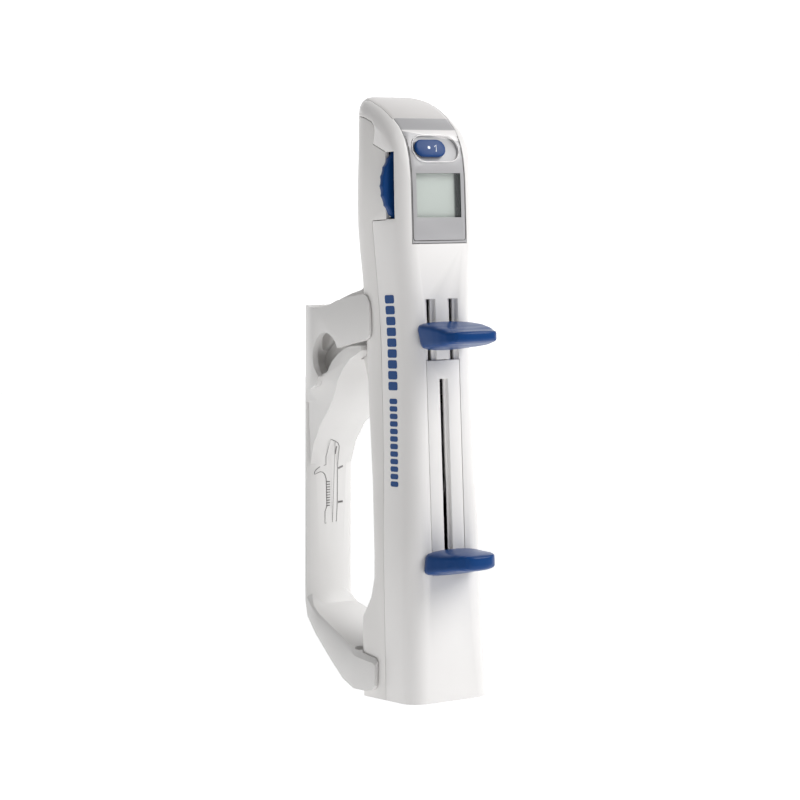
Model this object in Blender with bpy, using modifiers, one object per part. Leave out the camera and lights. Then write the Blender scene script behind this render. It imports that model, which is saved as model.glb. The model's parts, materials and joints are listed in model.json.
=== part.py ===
"""A hand-held repeating pipette (multi-dispenser) hanging in its wall holder.

Row frame: +Z up, -Y out from the wall, X across. The origin is the centre of the holder's
adhesive pad, on the wall. The pipette has a frame of its own, with its origin at the mouth of
the tip socket, and leans in the holder by HANG_ANGLE.
"""

import math

import bmesh
import bpy
from mathutils import Matrix, Vector

MM = 0.001
GAP = 0.3 * MM
RUN = 0.25 * MM

# ---- driving dimensions of the pipette body -------------------------------------------------
BODY_HEIGHT = 238.0 * MM
WALL = 1.8 * MM
FLOOR = 2.2 * MM
FRONT_RADIUS = 7.3 * MM
SEAM_Y = -1.0 * MM

# Sections of the body: height, half width, front face, back face, radius of the back corners.
# The lower ones are measured up from the base, the upper ones down from the crest of the head.
BASE_SECTIONS = (
    (0.0, 19.0, -20.0, 21.0, 8.0),
    (16.0, 18.8, -20.0, 20.8, 8.0),
    (32.0, 18.6, -20.0, 20.2, 8.0),
    (40.0, 18.4, -20.0, 14.6, 8.5),
    (48.0, 18.3, -20.0, 12.4, 9.0),
    (65.0, 18.0, -20.0, 12.3, 9.0),
    (86.0, 17.0, -20.0, 13.8, 9.5),
)
HEAD_SECTIONS = (
    (118.0, 16.3, -20.0, 16.6, 10.5),
    (90.0, 16.3, -20.0, 18.0, 12.0),
    (70.0, 17.3, -20.2, 18.6, 13.0),
    (52.0, 18.5, -20.5, 18.8, 13.0),
    (36.0, 18.4, -20.6, 18.6, 13.0),
    (20.0, 18.0, -20.6, 17.6, 13.0),
    (-6.0, 17.3, -20.6, 16.8, 13.0),
)
# The roof line of the head in side view: y, and height below the crest. The roof's crown
# rises a little above the crest height that the other drops are measured from.
ROOF = (
    (17.6, 9.0), (17.0, 3.9), (15.0, 0.2), (12.0, -1.3), (7.5, -0.2), (1.5, 2.2), (-4.0, 5.0),
    (-9.3, 8.6), (-13.2, 11.9), (-16.4, 15.7), (-18.8, 20.2), (-20.1, 25.0), (-20.6, 30.0),
)
ROOF_ROUND = 6.5 * MM
NECK_DROP = 50.0 * MM
# The seam between the shells beside the head: y, and height below the crest.
HEAD_SEAM = (
    (-11.0, 48.6), (-11.0, 21.9), (-2.2, 18.4), (-3.2, 13.6), (-3.0, 11.6), (-1.2, 9.6),
    (4.0, 7.6), (9.0, 6.6), (26.0, 6.4),
)

# ---- head -----------------------------------------------------------------------------------
DISPLAY_HALF = 12.6 * MM
DISPLAY_DROP = 58.0 * MM
CAP_FRONT = -9.3 * MM
CAP_BACK = 11.6 * MM
CAP_HALF = 13.2 * MM
LCD_HALF = 10.4 * MM
LCD_HEIGHT = 17.2 * MM
LCD_DROP = 39.5 * MM
SWITCH_DROP = 21.2 * MM
SWITCH_LEAN = math.radians(20.0)
SWITCH_HOLE = (21.0 * MM, 10.8 * MM)
SWITCH_SIZE = (14.2 * MM, 7.2 * MM)
SWITCH_TRAVEL = 5.4 * MM
DIAL_X = -3.1 * MM
DIAL_DROP = 35.5 * MM
DIAL_RADIUS = 18.4 * MM
DIAL_THICK = 3.4 * MM
DIAL_Y = -12.6 * MM
DIAL_NOTCHES = 30
WINDOW_IN = 14.2 * MM
WINDOW_FRONT = -16.0 * MM
WINDOW_DROPS = (48.3 * MM, 22.2 * MM)
AXLE_RADIUS = 1.5 * MM

# ---- levers and their slots -----------------------------------------------------------------
SLOT_OUT = 7.7 * MM
SLOT_IN = 2.85 * MM
SLOT_TOP_DROP = 79.8 * MM
SLOT_LENGTH = 24.0 * MM
PANEL_FOOT = 50.4 * MM
FILL_SLOT_HALF = 2.05 * MM
FILL_SLOT_FOOT = 51.4 * MM
FILL_SLOT_MARGIN = 7.3 * MM
SLOT_FLOOR = 1.1 * MM
SLIT = 1.7 * MM
LEVER_RIB = 1.1 * MM
TONGUE = 3.8 * MM
FILL_TONGUE = 2.8 * MM
TONGUE_HEIGHT = 10.0 * MM
FILL_TONGUE_HEIGHT = 6.0 * MM
DISPENSE_DROP = 94.4 * MM
FILL_LEVER_Z = 54.8 * MM

# ---- mechanism ------------------------------------------------------------------------------
RACK_WIDTH = 6.0 * MM
RACK_DEPTH = 6.0 * MM
RACK_FOOT = 46.0 * MM
RACK_PITCH = 4.0 * MM
GRIPPER_RADIUS = 5.2 * MM
GRIPPER_LENGTH = 18.0 * MM
ROD_X = 11.0 * MM
ROD_RADIUS = 1.2 * MM
SPRING_RADIUS = 2.3 * MM
SPRING_WIRE = 0.35 * MM
SPRING_TURNS = 6
CHASSIS_Y = 7.4 * MM
CHASSIS_THICK = 1.8 * MM
SOCKET_RADIUS = 10.2 * MM
SOCKET_WALL = 2.0 * MM
SOCKET_HEIGHT = 13.5 * MM
CLAMP_X = 13.6 * MM
CLAMP_PIVOT_Z = 28.0 * MM
PIN_RADIUS = 1.0 * MM

# ---- finger hook and grip, in the pipette's side view ---------------------------------------
HOOK_DROP = 71.0 * MM
HOOK_HALF = 9.3 * MM
HOOK_EDGE = 1.6 * MM
# y, and height above the root's top, going round the hook from the root's top to its bottom.
HOOK_OUTLINE = (
    (15.6, 0.0), (19.4, -2.0), (24.1, -4.2), (32.5, -5.7), (40.2, -7.6), (45.5, -10.4), (50.0, -14.6),
    (53.6, -20.0), (55.4, -25.0), (55.6, -28.6), (53.8, -29.4), (50.4, -27.4), (46.0, -24.6),
    (40.5, -22.8), (34.0, -22.6), (29.0, -24.6), (25.0, -29.0), (22.2, -36.0), (19.8, -45.5),
    (15.6, -46.0),
)
HOOK_UNDERSIDE = slice(10, 17)
GRIP_FOOT = 52.0 * MM
GRIP_TOP_DROP = 119.0 * MM
GRIP_HALF = 7.8 * MM
GRIP_SINK = 0.9 * MM
RIB_PITCH = 7.2 * MM
RIB_HEIGHT = 0.8 * MM

# ---- holder ---------------------------------------------------------------------------------
WALL_TO_TIP = 76.0 * MM
MOUNT_Z = 100.0 * MM
HANG_ANGLE = math.radians(3.7)
PAD_THICK = 1.8 * MM
PAD_SIZE = (16.0 * MM, 64.0 * MM)
SPINE_HALF = 10.9 * MM
SPINE_TOP = 152.0
SPINE_WALL = 4.0 * MM
SPINE_EDGE = 1.4 * MM
EAR_WALL = 2.0 * MM
CHEEK_OUT = 17.7 * MM
CHEEK_IN = 15.3 * MM
RIB_HALF = 8.0 * MM
NOTCH_RADIUS = 9.9 * MM
NOTCH_CENTRE = (47.6, 133.0)
HOLD_GAP = 0.4 * MM
# The wall distance and the hook's height that the holder's outlines below are drawn for.
DRAWN_REACH = 76.0 * MM
DRAWN_HOOK = 167.0 * MM
# The spine and its lower arm: inner y and z, outer y and z, half width. All from the tip axis.
ARM_SECTIONS = (
    (70.2, 118.0, 74.2, 118.0, 10.9),
    (70.2, 60.0, 74.2, 60.0, 10.9),
    (70.2, 42.0, 74.2, 36.0, 10.9),
    (69.8, 33.5, 73.9, 28.0, 11.0),
    (67.2, 27.2, 71.5, 21.8, 11.5),
    (60.0, 25.0, 62.5, 16.2, 13.2),
    (44.0, 21.8, 46.5, 8.6, 15.9),
    (30.5, 19.4, 32.0, 2.9, 18.6),
    (20.0, 18.0, 20.5, 1.2, 20.7),
    (11.0, 17.2, 11.0, 1.9, 20.8),
    (6.4, 16.7, 6.4, 3.2, 20.8),
    (4.8, 15.2, 4.8, 5.0, 20.8),
)
# The bracket's cheeks in side view, and the saddle between them: y and z from the tip axis.
CHEEK_OUTLINE = (
    (59.6, 152.2), (54.6, 152.6), (47.0, 154.0), (42.7, 155.2), (39.5, 156.4), (28.9, 158.6),
    (19.5, 160.0), (16.8, 159.2), (15.1, 156.8), (14.5, 153.0), (14.5, 145.6), (15.2, 143.2),
    (17.2, 142.1), (23.5, 140.7), (31.0, 139.2), (44.0, 136.0), (52.0, 126.0), (55.0, 121.0),
    (59.6, 119.0),
)
SADDLE_TOP = (
    (23.4, 137.2), (24.0, 139.2), (32.0, 138.3), (36.6, 136.9), (41.2, 134.6), (45.9, 131.0),
    (49.5, 126.6), (55.5, 124.6), (61.0, 126.0), (65.0, 129.4), (68.0, 134.4), (71.4, 141.0),
)
SADDLE_UNDER = (
    (71.4, 86.0), (68.4, 95.0), (62.0, 103.5), (54.0, 110.5), (47.0, 117.0), (41.5, 123.5),
    (37.0, 129.0), (32.0, 133.2),
)

POINTS_FRONT = 6
POINTS_SIDE = 5
POINTS_BACK = 8
POINTS_ROOF = 4
NECK_STEPS = 5
ROUND = 24

BODY_COLLECTION = bpy.data.collections.new("repeating_pipette")
CUTTERS = bpy.data.collections.new("cutters")
PARTS = {}


def clear_scene():
    for item in list(bpy.data.objects):
        bpy.data.objects.remove(item)
    bpy.context.scene.collection.children.link(BODY_COLLECTION)
    bpy.context.scene.collection.children.link(CUTTERS)
    CUTTERS.hide_render = True


def material(name, colour, roughness, metallic=0.0):
    found = bpy.data.materials.get(name)
    if found:
        return found
    made = bpy.data.materials.new(name)
    made.use_nodes = True
    shader = made.node_tree.nodes["Principled BSDF"]
    shader.inputs["Base Color"].default_value = (*colour, 1.0)
    shader.inputs["Roughness"].default_value = roughness
    shader.inputs["Metallic"].default_value = metallic
    return made


def white_plastic():
    return material("white_plastic", (0.84, 0.83, 0.82), 0.42)


def grey_plastic():
    return material("grey_plastic", (0.70, 0.70, 0.69), 0.46)


def silver_plastic():
    return material("silver_plastic", (0.52, 0.52, 0.52), 0.35, 0.2)


def blue_plastic():
    return material("blue_plastic", (0.03, 0.12, 0.42), 0.33)


def dark_plastic():
    return material("dark_plastic", (0.05, 0.05, 0.05), 0.5)


def steel():
    return material("steel", (0.62, 0.62, 0.64), 0.3, 1.0)


# ---- helpers --------------------------------------------------------------------------------
def new_object(name, mesh, collection=CUTTERS):
    made = bpy.data.objects.new(name, mesh)
    collection.objects.link(made)
    return made


def bake(target):
    """Replaces the object's mesh by what its modifiers make of it."""
    graph = bpy.context.evaluated_depsgraph_get()
    graph.update()
    mesh = bpy.data.meshes.new_from_object(target.evaluated_get(graph))
    target.modifiers.clear()
    target.data = mesh
    return target


def boolean(target, cutter, operation):
    modifier = target.modifiers.new(operation.lower(), "BOOLEAN")
    modifier.operation = operation
    modifier.solver = "EXACT"
    modifier.object = cutter
    bake(target)
    bpy.data.objects.remove(cutter)
    return target


def cut(target, *cutters):
    for cutter in cutters:
        boolean(target, cutter, "DIFFERENCE")
    return target


def join(target, *others):
    for other in others:
        boolean(target, other, "UNION")
    return target


def keep(target, region):
    return boolean(target, region, "INTERSECT")


def copy_of(source, name="copy"):
    return new_object(name, source.data.copy())


def box(low, high, name="box"):
    """A box between two corners."""
    low, high = Vector(low), Vector(high)
    mesh = bpy.data.meshes.new(name)
    shape = bmesh.new()
    bmesh.ops.create_cube(shape, size=1.0)
    bmesh.ops.scale(shape, vec=high - low, verts=shape.verts)
    bmesh.ops.translate(shape, vec=(low + high) / 2, verts=shape.verts)
    shape.to_mesh(mesh)
    shape.free()
    return new_object(name, mesh)


def cylinder(start, end, radius, segments=ROUND, name="cylinder"):
    """A cylinder from one point to another."""
    start, end = Vector(start), Vector(end)
    mesh = bpy.data.meshes.new(name)
    shape = bmesh.new()
    bmesh.ops.create_cone(shape, cap_ends=True, segments=segments, radius1=radius, radius2=radius,
                          depth=(end - start).length)
    turn = (end - start).to_track_quat("Z", "Y").to_matrix().to_4x4()
    bmesh.ops.transform(shape, matrix=Matrix.Translation((start + end) / 2) @ turn, verts=shape.verts)
    shape.to_mesh(mesh)
    shape.free()
    return new_object(name, mesh)


def bevelled(target, width, segments=1, angle=math.radians(40)):
    modifier = target.modifiers.new("edges", "BEVEL")
    modifier.width = width
    modifier.segments = segments
    modifier.limit_method = "ANGLE"
    modifier.angle_limit = angle
    return bake(target)


def outline_solid(points, half_thickness, name="outline"):
    """A flat outline of (y, z) points, extruded along X to both sides of the middle plane."""
    curve = bpy.data.curves.new(name, "CURVE")
    curve.dimensions = "2D"
    curve.fill_mode = "BOTH"
    curve.extrude = half_thickness
    spline = curve.splines.new("POLY")
    spline.points.add(len(points) - 1)
    for point, (y, z) in zip(spline.points, points):
        point.co = (y, z, 0.0, 1.0)
    spline.use_cyclic_u = True
    guide = new_object(name, curve)
    # The curve's own x and y become the row's y and z, and its extrusion runs along X.
    guide.matrix_world = Matrix(((0, 0, 1, 0), (1, 0, 0, 0), (0, 1, 0, 0), (0, 0, 0, 1)))
    return solid_from_curve(guide, name)


def solid_from_curve(guide, name):
    bpy.context.view_layer.update()
    graph = bpy.context.evaluated_depsgraph_get()
    mesh = bpy.data.meshes.new_from_object(guide.evaluated_get(graph))
    mesh.transform(guide.matrix_world)
    shape = bmesh.new()
    shape.from_mesh(mesh)
    bmesh.ops.remove_doubles(shape, verts=shape.verts, dist=1e-6)
    bmesh.ops.recalc_face_normals(shape, faces=shape.faces)
    shape.to_mesh(mesh)
    shape.free()
    bpy.data.objects.remove(guide)
    return new_object(name, mesh)


def loft(rings, name="loft"):
    """A closed solid through rings of points, all of the same count, with flat ends."""
    mesh = bpy.data.meshes.new(name)
    shape = bmesh.new()
    made = [[shape.verts.new(point) for point in ring] for ring in rings]
    count = len(made[0])
    for lower, upper in zip(made, made[1:]):
        for i in range(count):
            j = (i + 1) % count
            shape.faces.new((lower[i], lower[j], upper[j], upper[i]))
    shape.faces.new(list(reversed(made[0])))
    shape.faces.new(made[-1])
    bmesh.ops.recalc_face_normals(shape, faces=shape.faces)
    shape.to_mesh(mesh)
    shape.free()
    return new_object(name, mesh)


def stadium(length, height, low, high, name="stadium"):
    """A slot shape, long in X and round at its ends, from low to high along Z."""
    radius = height / 2
    reach = length / 2 - radius
    steps = 8
    corners = []
    for side, start in ((1, -90), (-1, 90)):
        for i in range(steps + 1):
            turn = math.radians(start + 180 * i / steps)
            corners.append((side * reach + radius * math.cos(turn), radius * math.sin(turn)))
    return loft([[(x, y, z) for x, y in corners] for z in (low, high)], name)


def part(name, target, surface, origin=(0.0, 0.0, 0.0)):
    """Names a finished piece, gives it its material and puts its origin on its axis."""
    target.name = name
    target.data.name = name
    target.data.materials.clear()
    target.data.materials.append(surface)
    target.data.transform(Matrix.Translation(-Vector(origin)))
    target.location = origin
    target.data.shade_smooth()
    target.data.set_sharp_from_angle(angle=math.radians(35))
    CUTTERS.objects.unlink(target)
    BODY_COLLECTION.objects.link(target)
    PARTS[name] = target
    return target


# ---- the body's outer form ------------------------------------------------------------------
def from_crest(drop):
    return BODY_HEIGHT - drop


def stations():
    """Every section of the body in metres, from the base up."""
    found = [tuple(v * MM for v in row) for row in BASE_SECTIONS]
    found += [(from_crest(row[0] * MM), *(v * MM for v in row[1:])) for row in HEAD_SECTIONS]
    return found


def section_at(z):
    """Half width, front, back and back radius at a height, on a smooth curve through the stations."""
    rows = stations()
    index = max(0, min(len(rows) - 2, sum(row[0] <= z for row in rows) - 1))
    low, high = rows[index], rows[index + 1]
    before, after = rows[max(index - 1, 0)], rows[min(index + 2, len(rows) - 1)]
    span = high[0] - low[0]
    t = (z - low[0]) / span
    values = []
    for k in range(1, 5):
        slope_low = (high[k] - before[k]) / max(high[0] - before[0], span) * span
        slope_high = (after[k] - low[k]) / max(after[0] - low[0], span) * span
        values.append(
            low[k] * (2 * t**3 - 3 * t**2 + 1) + slope_low * (t**3 - 2 * t**2 + t)
            + high[k] * (3 * t**2 - 2 * t**3) + slope_high * (t**3 - t**2)
        )
    return values


def outline_point(z, station, inset=0.0):
    """Half width and y on the section at a height.

    A station of 0 is the front flat's end, 1 and 2 are the side's ends and 3 is the back flat's end.
    """
    half, front, back, back_radius = section_at(z)
    front_centre, back_centre = front + FRONT_RADIUS, back - back_radius
    if station <= 1.0:
        turn, reach = math.radians(90 * station), FRONT_RADIUS - inset
        return half - FRONT_RADIUS + reach * math.sin(turn), front_centre - reach * math.cos(turn)
    if station <= 2.0:
        return half - inset, front_centre + (back_centre - front_centre) * (station - 1.0)
    turn, reach = math.radians(90 * (station - 2.0)), back_radius - inset
    return half - back_radius + reach * math.cos(turn), back_centre + reach * math.sin(turn)


def outline_stations():
    """Stations from the front to the back, closer together round the corners."""
    found = [i / POINTS_FRONT for i in range(POINTS_FRONT + 1)]
    found += [1.0 + i / POINTS_SIDE for i in range(1, POINTS_SIDE + 1)]
    found += [2.0 + i / POINTS_BACK for i in range(1, POINTS_BACK + 1)]
    return found


def roof_points(inset=0.0):
    """The roof line in side view, moved in along its normals."""
    line = [Vector((y * MM, from_crest(drop * MM))) for y, drop in ROOF]
    moved = []
    for i, point in enumerate(line):
        along = line[min(i + 1, len(line) - 1)] - line[max(i - 1, 0)]
        normal = Vector((along.y, -along.x)).normalized()
        moved.append(point - normal * inset)
    return moved


def roof_height(y, inset):
    """Height of the roof in the middle plane."""
    line = roof_points(inset)
    for behind, ahead in zip(line, line[1:]):
        if ahead.x <= y <= behind.x:
            share = (y - ahead.x) / (behind.x - ahead.x)
            return ahead.y + (behind.y - ahead.y) * share
    return line[0].y if y > line[0].x else line[-1].y


def shoulder(station, inset):
    """Where the side at a station meets the roof's round: half width, y, height, crest and radius."""
    z = from_crest(2 * ROOF_ROUND)
    for _ in range(4):
        half, y = outline_point(z, station, inset)
        crest = roof_height(y, inset)
        radius = min(ROOF_ROUND - inset, 0.98 * half)
        z = crest - radius
    return half, y, z, crest, radius


def body_form(inset=0.0, foot=0.0):
    """The solid form of the pipette's body, drawn in by inset, from foot up to its domed roof."""
    marks = outline_stations()
    neck = from_crest(NECK_DROP)
    levels = [foot] + [row[0] for row in stations() if foot + 1 * MM < row[0] < neck - 1 * MM] + [neck]
    heights = []
    for low, high in zip(levels, levels[1:]):
        steps = max(1, round((high - low) / (9 * MM)))
        heights += [[low + (high - low) * i / steps] * len(marks) for i in range(steps)]
    tops = [shoulder(mark, inset) for mark in marks]
    for step in range(NECK_STEPS):
        heights.append([neck + (top[2] - neck) * step / NECK_STEPS for top in tops])
    sides = [[(*outline_point(z, mark, inset), z) for mark, z in zip(marks, row)] for row in heights]
    sides.append([top[:3] for top in tops])

    mesh = bpy.data.meshes.new("body_form")
    shape = bmesh.new()
    rings = []
    for side in sides:
        left = [shape.verts.new((-x, y, z)) for x, y, z in side]
        right = [shape.verts.new((x, y, z)) for x, y, z in reversed(side)]
        rings.append(left + right)
    count = len(rings[0])
    for lower, upper in zip(rings, rings[1:]):
        for i in range(count):
            j = (i + 1) % count
            shape.faces.new((lower[i], lower[j], upper[j], upper[i]))
    shape.faces.new(rings[0])

    rows = []
    for i, (half, y, _, crest, radius) in enumerate(tops):
        inner = []
        for step in range(1, POINTS_ROOF + 1):
            turn = math.radians(90 * (1 - step / POINTS_ROOF))
            inner.append((half - radius + radius * math.sin(turn), crest - radius + radius * math.cos(turn)))
        left = [shape.verts.new((-x, y, z)) for x, z in inner]
        right = [shape.verts.new((x, y, z)) for x, z in reversed(inner)]
        rows.append([rings[-1][i], *left, *right, rings[-1][count - 1 - i]])
    for ahead, behind in zip(rows, rows[1:]):
        for i in range(len(ahead) - 1):
            shape.faces.new((ahead[i], ahead[i + 1], behind[i + 1], behind[i]))
    shape.faces.new(rows[0])
    shape.faces.new(rows[-1])
    bmesh.ops.recalc_face_normals(shape, faces=shape.faces)
    shape.to_mesh(mesh)
    shape.free()
    return new_object("body_form", mesh)


def front_region(shift):
    """Everything in front of the seam between the shells, which moves back by shift."""
    far = 60 * MM
    seam = [(SEAM_Y + shift, -far), (SEAM_Y + shift, from_crest(48.6 * MM) + shift)]
    for y, drop in HEAD_SEAM:
        lift = shift if drop > 40 else -shift
        seam.append((y * MM + shift, from_crest(drop * MM) + lift))
    seam[-1] = (far, seam[-1][1])
    return outline_solid([(-far, -far), *seam, (far, from_crest(-far)), (-far, from_crest(-far))], far)


def dial_centre():
    return Vector((DIAL_X, DIAL_Y, from_crest(DIAL_DROP)))


def dial_room(extra):
    centre = dial_centre()
    half = Vector((0, DIAL_THICK / 2 + 0.6 * MM, 0))
    return cylinder(centre - half, centre + half, DIAL_RADIUS + extra, 48)


def slot_bottom():
    return from_crest(SLOT_TOP_DROP) - SLOT_LENGTH


def fill_slot_top():
    return slot_bottom() - FILL_SLOT_MARGIN


def fill_travel():
    """How far the filling lever can rise before its tongue meets the slot's top."""
    return fill_slot_top() - (FILL_LEVER_Z + FILL_TONGUE_HEIGHT / 2) - RUN


def cap_region(extra=0.0):
    low = (-CAP_HALF - extra, CAP_FRONT - extra, from_crest(24 * MM))
    high = (CAP_HALF + extra, CAP_BACK + extra, from_crest(-8 * MM))
    return box(low, high)


def display_region(extra=0.0):
    low = (-DISPLAY_HALF - extra, -40 * MM, from_crest(DISPLAY_DROP) - extra)
    high = (DISPLAY_HALF + extra, CAP_FRONT - GAP / 2 + extra / 2, from_crest(-8 * MM))
    return box(low, high)


def panel_region(extra=0.0):
    low = (-SLOT_OUT - extra, -40 * MM, PANEL_FOOT - extra)
    high = (SLOT_OUT + extra, -15 * MM, slot_bottom() + extra)
    return box(low, high)


def switch_frame():
    """The frame of the switch on the sloping front of the head: its z axis points out."""
    z = from_crest(SWITCH_DROP)
    line = roof_points()
    y = line[-1].x
    for a, b in zip(line, line[1:]):
        if b.y <= z <= a.y:
            y = a.x + (b.x - a.x) * (a.y - z) / (a.y - b.y)
    turn = Matrix.Rotation(math.radians(90) - SWITCH_LEAN, 4, "X")
    return Matrix.Translation((0.0, y, z)) @ turn


def placed(target, frame):
    target.data.transform(frame)
    return target


# ---- casing ---------------------------------------------------------------------------------
def make_casing():
    shell = cut(body_form(), body_form(WALL, FLOOR))
    cut(shell, cylinder((0, 0, -5 * MM), (0, 0, FLOOR + 5 * MM), SOCKET_RADIUS + 2.3 * MM, 32))

    battery_low = (-11.0 * MM, 8 * MM, from_crest(46 * MM))
    battery_high = (11.0 * MM, 30 * MM, from_crest(16 * MM))
    cover = keep(copy_of(shell), box(battery_low, battery_high))
    room = box([v - GAP for v in battery_low], [v + GAP for v in battery_high])
    rear = cut(copy_of(shell), front_region(GAP), room)
    cut(rear, grip_region(GRIP_HALF + GAP, GRIP_SINK, 3 * MM, GAP))
    hook = bevelled(outline_solid(hook_points(), HOOK_HALF), HOOK_EDGE, 2)
    join(rear, hook)
    screw_z = from_crest(48 * MM)
    cut(rear, cylinder((0, 10 * MM, screw_z - 3 * MM), (0, 26 * MM, screw_z - 3 * MM), 1.9 * MM, 16))
    cut(rear, cylinder((0, 10 * MM, 14 * MM), (0, 26 * MM, 14 * MM), 1.9 * MM, 16))
    part("rear_shell", rear, grey_plastic())
    part("battery_cover", cover, grey_plastic())

    front = keep(shell, front_region(0.0))
    cap = keep(copy_of(front), cap_region())
    bezel = keep(copy_of(front), display_region())
    panel = keep(copy_of(front), panel_region())
    cut(front, cap_region(GAP), display_region(GAP), panel_region(GAP), dial_room(0.9 * MM))
    low, high = (from_crest(drop) for drop in WINDOW_DROPS)
    cut(front, box((-30 * MM, WINDOW_FRONT, low), (-WINDOW_IN, WINDOW_FRONT + 6.5 * MM, high)))
    for side in (-1, 1):
        inner, outer = side * SLOT_IN, side * SLOT_OUT
        low = (min(inner, outer), -40 * MM, slot_bottom() - GAP)
        high = (max(inner, outer), -15 * MM, from_crest(SLOT_TOP_DROP))
        cut(front, box(low, high))
        join(front, slot_floor(low[0], high[0], slot_bottom(), high[2], 0.0))
    part("front_shell", front, white_plastic())
    part("top_cap", cap, white_plastic())

    low = (-FILL_SLOT_HALF, -40 * MM, FILL_SLOT_FOOT)
    cut(panel, box(low, (FILL_SLOT_HALF, -15 * MM, fill_slot_top())))
    join(panel, slot_floor(-FILL_SLOT_HALF, FILL_SLOT_HALF, FILL_SLOT_FOOT, fill_slot_top(), 0.7 * MM))
    part("slot_panel", panel, white_plastic())
    make_bezel(bezel)
    make_grip()


def recess_floor():
    """Where the floor of the lever slots begins, behind the front face."""
    return section_at(slot_bottom())[1] + WALL - 0.4 * MM


def slot_floor(left, right, low, high, below):
    """A floor behind a slot, open along a narrow slit for the lever's rib."""
    front, middle = recess_floor(), (left + right) / 2
    floor = box((left - 0.8 * MM, front, low - below),
                (right + 0.8 * MM, front + SLOT_FLOOR, high + 0.8 * MM))
    slit_low = low if below else low - 5 * MM
    return cut(floor, box((middle - SLIT / 2, front - 5 * MM, slit_low),
                          (middle + SLIT / 2, front + 5 * MM, high)))


def lcd_box(extra, front, back):
    middle = from_crest(LCD_DROP)
    half = LCD_HEIGHT / 2 + extra
    return box((-LCD_HALF - extra, front, middle - half), (LCD_HALF + extra, back, middle + half))


def make_bezel(bezel):
    cut(bezel, lcd_box(0.0, -40 * MM, -10 * MM))
    cut(bezel, dial_room(0.5 * MM))
    frame = switch_frame()
    cut(bezel, placed(stadium(*SWITCH_HOLE, -0.9 * MM, 6 * MM), frame))
    slot = box((-SWITCH_TRAVEL / 2 - 1.4 * MM, -1.1 * MM, -4 * MM),
               (SWITCH_TRAVEL / 2 + 1.4 * MM, 1.1 * MM, 2 * MM))
    cut(bezel, placed(slot, frame))
    part("display_bezel", bezel, silver_plastic())
    front = section_at(from_crest(LCD_DROP))[1]
    window = lcd_box(-GAP, front + 0.1 * MM, front + 1.1 * MM)
    part("display_window", window, material("clear_plastic", (0.9, 0.93, 0.92), 0.1))
    part("lcd_module", lcd_box(0.5 * MM, front + WALL + GAP, front + WALL + 2.2 * MM),
         material("lcd_glass", (0.62, 0.66, 0.60), 0.25))


def make_switch():
    """The counter's on and off slider, at the left end of its oval."""
    frame = switch_frame()
    knob = stadium(*SWITCH_SIZE, -0.7 * MM, 0.9 * MM)
    bevelled(knob, 0.5 * MM, 2)
    stem = box((-1.0 * MM, -0.8 * MM, -2.6 * MM), (1.0 * MM, 0.8 * MM, 0.0))
    join(knob, stem)
    placed(knob, frame @ Matrix.Translation((-SWITCH_TRAVEL / 2, 0, 0)))
    origin = frame @ Vector((-SWITCH_TRAVEL / 2, 0, 0))
    part("counter_switch", knob, blue_plastic(), origin)


def hook_points():
    top = from_crest(HOOK_DROP)
    return [(y * MM, top + z * MM) for y, z in HOOK_OUTLINE]


def grip_heights(step):
    low, high = GRIP_FOOT, from_crest(GRIP_TOP_DROP)
    count = max(2, round((high - low) / step))
    return [low + (high - low) * i / count for i in range(count + 1)]


def grip_region(half, sink, proud, extra=0.0):
    """The band along the back that the grip fills, from sink inside the surface to proud outside."""
    heights = grip_heights(12 * MM)
    heights[0] -= extra
    heights[-1] += extra
    inner = [(section_at(z)[2] - sink - extra, z) for z in heights]
    outer = [(section_at(z)[2] + proud, z) for z in reversed(heights)]
    return outline_solid(inner + outer, half)


def make_grip():
    """A soft ribbed inlay on the back, where the fingers close."""
    heights = grip_heights(12 * MM)
    inner = [(section_at(z)[2] - GRIP_SINK, z) for z in heights]
    outer = []
    ribs = grip_heights(RIB_PITCH)
    for low, high in zip(ribs, ribs[1:]):
        middle, half = (low + high) / 2, (high - low) / 2
        for share, lift in ((-1.0, 0.0), (-0.45, 0.0), (-0.25, 1.0), (0.25, 1.0), (0.45, 0.0)):
            z = middle + share * half
            outer.append((section_at(z)[2] + 0.1 * MM + lift * RIB_HEIGHT, z))
    outer.append((section_at(ribs[-1])[2] + 0.1 * MM, ribs[-1]))
    inlay = outline_solid(inner + list(reversed(outer)), GRIP_HALF)
    part("grip_inlay", inlay, material("soft_grip", (0.55, 0.55, 0.55), 0.8))


# ---- head's insides -------------------------------------------------------------------------
def make_head():
    centre = dial_centre()
    board_y = centre.y + DIAL_THICK / 2 + 2.2 * MM
    board = box((-14 * MM, board_y, centre.z - 20 * MM), (14 * MM, board_y + 1.2 * MM, centre.z + 17 * MM))
    cut(board, cylinder(centre, centre + Vector((0, 20 * MM, 0)), AXLE_RADIUS + 0.4 * MM, 16))
    part("circuit_board", board, material("board_green", (0.03, 0.18, 0.08), 0.5))

    axle = cylinder(centre - Vector((0, DIAL_THICK / 2 + 0.5 * MM, 0)),
                    Vector((centre.x, board_y + 3.0 * MM, centre.z)), AXLE_RADIUS, 16)
    part("dial_axle", axle, steel())

    cell_y = 9.8 * MM
    cell_z = from_crest(31 * MM)
    cell = cylinder((0, cell_y, cell_z), (0, cell_y + 3.0 * MM, cell_z), 12.0 * MM, 32)
    part("battery_cell", cell, steel())
    holder = cylinder((0, cell_y - 2.0 * MM, cell_z), (0, cell_y + 2.4 * MM, cell_z), 13.6 * MM, 32)
    cut(holder, cylinder((0, cell_y - 0.4 * MM, cell_z), (0, cell_y + 9 * MM, cell_z), 12.5 * MM, 32))
    part("battery_holder", holder, dark_plastic())


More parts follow.
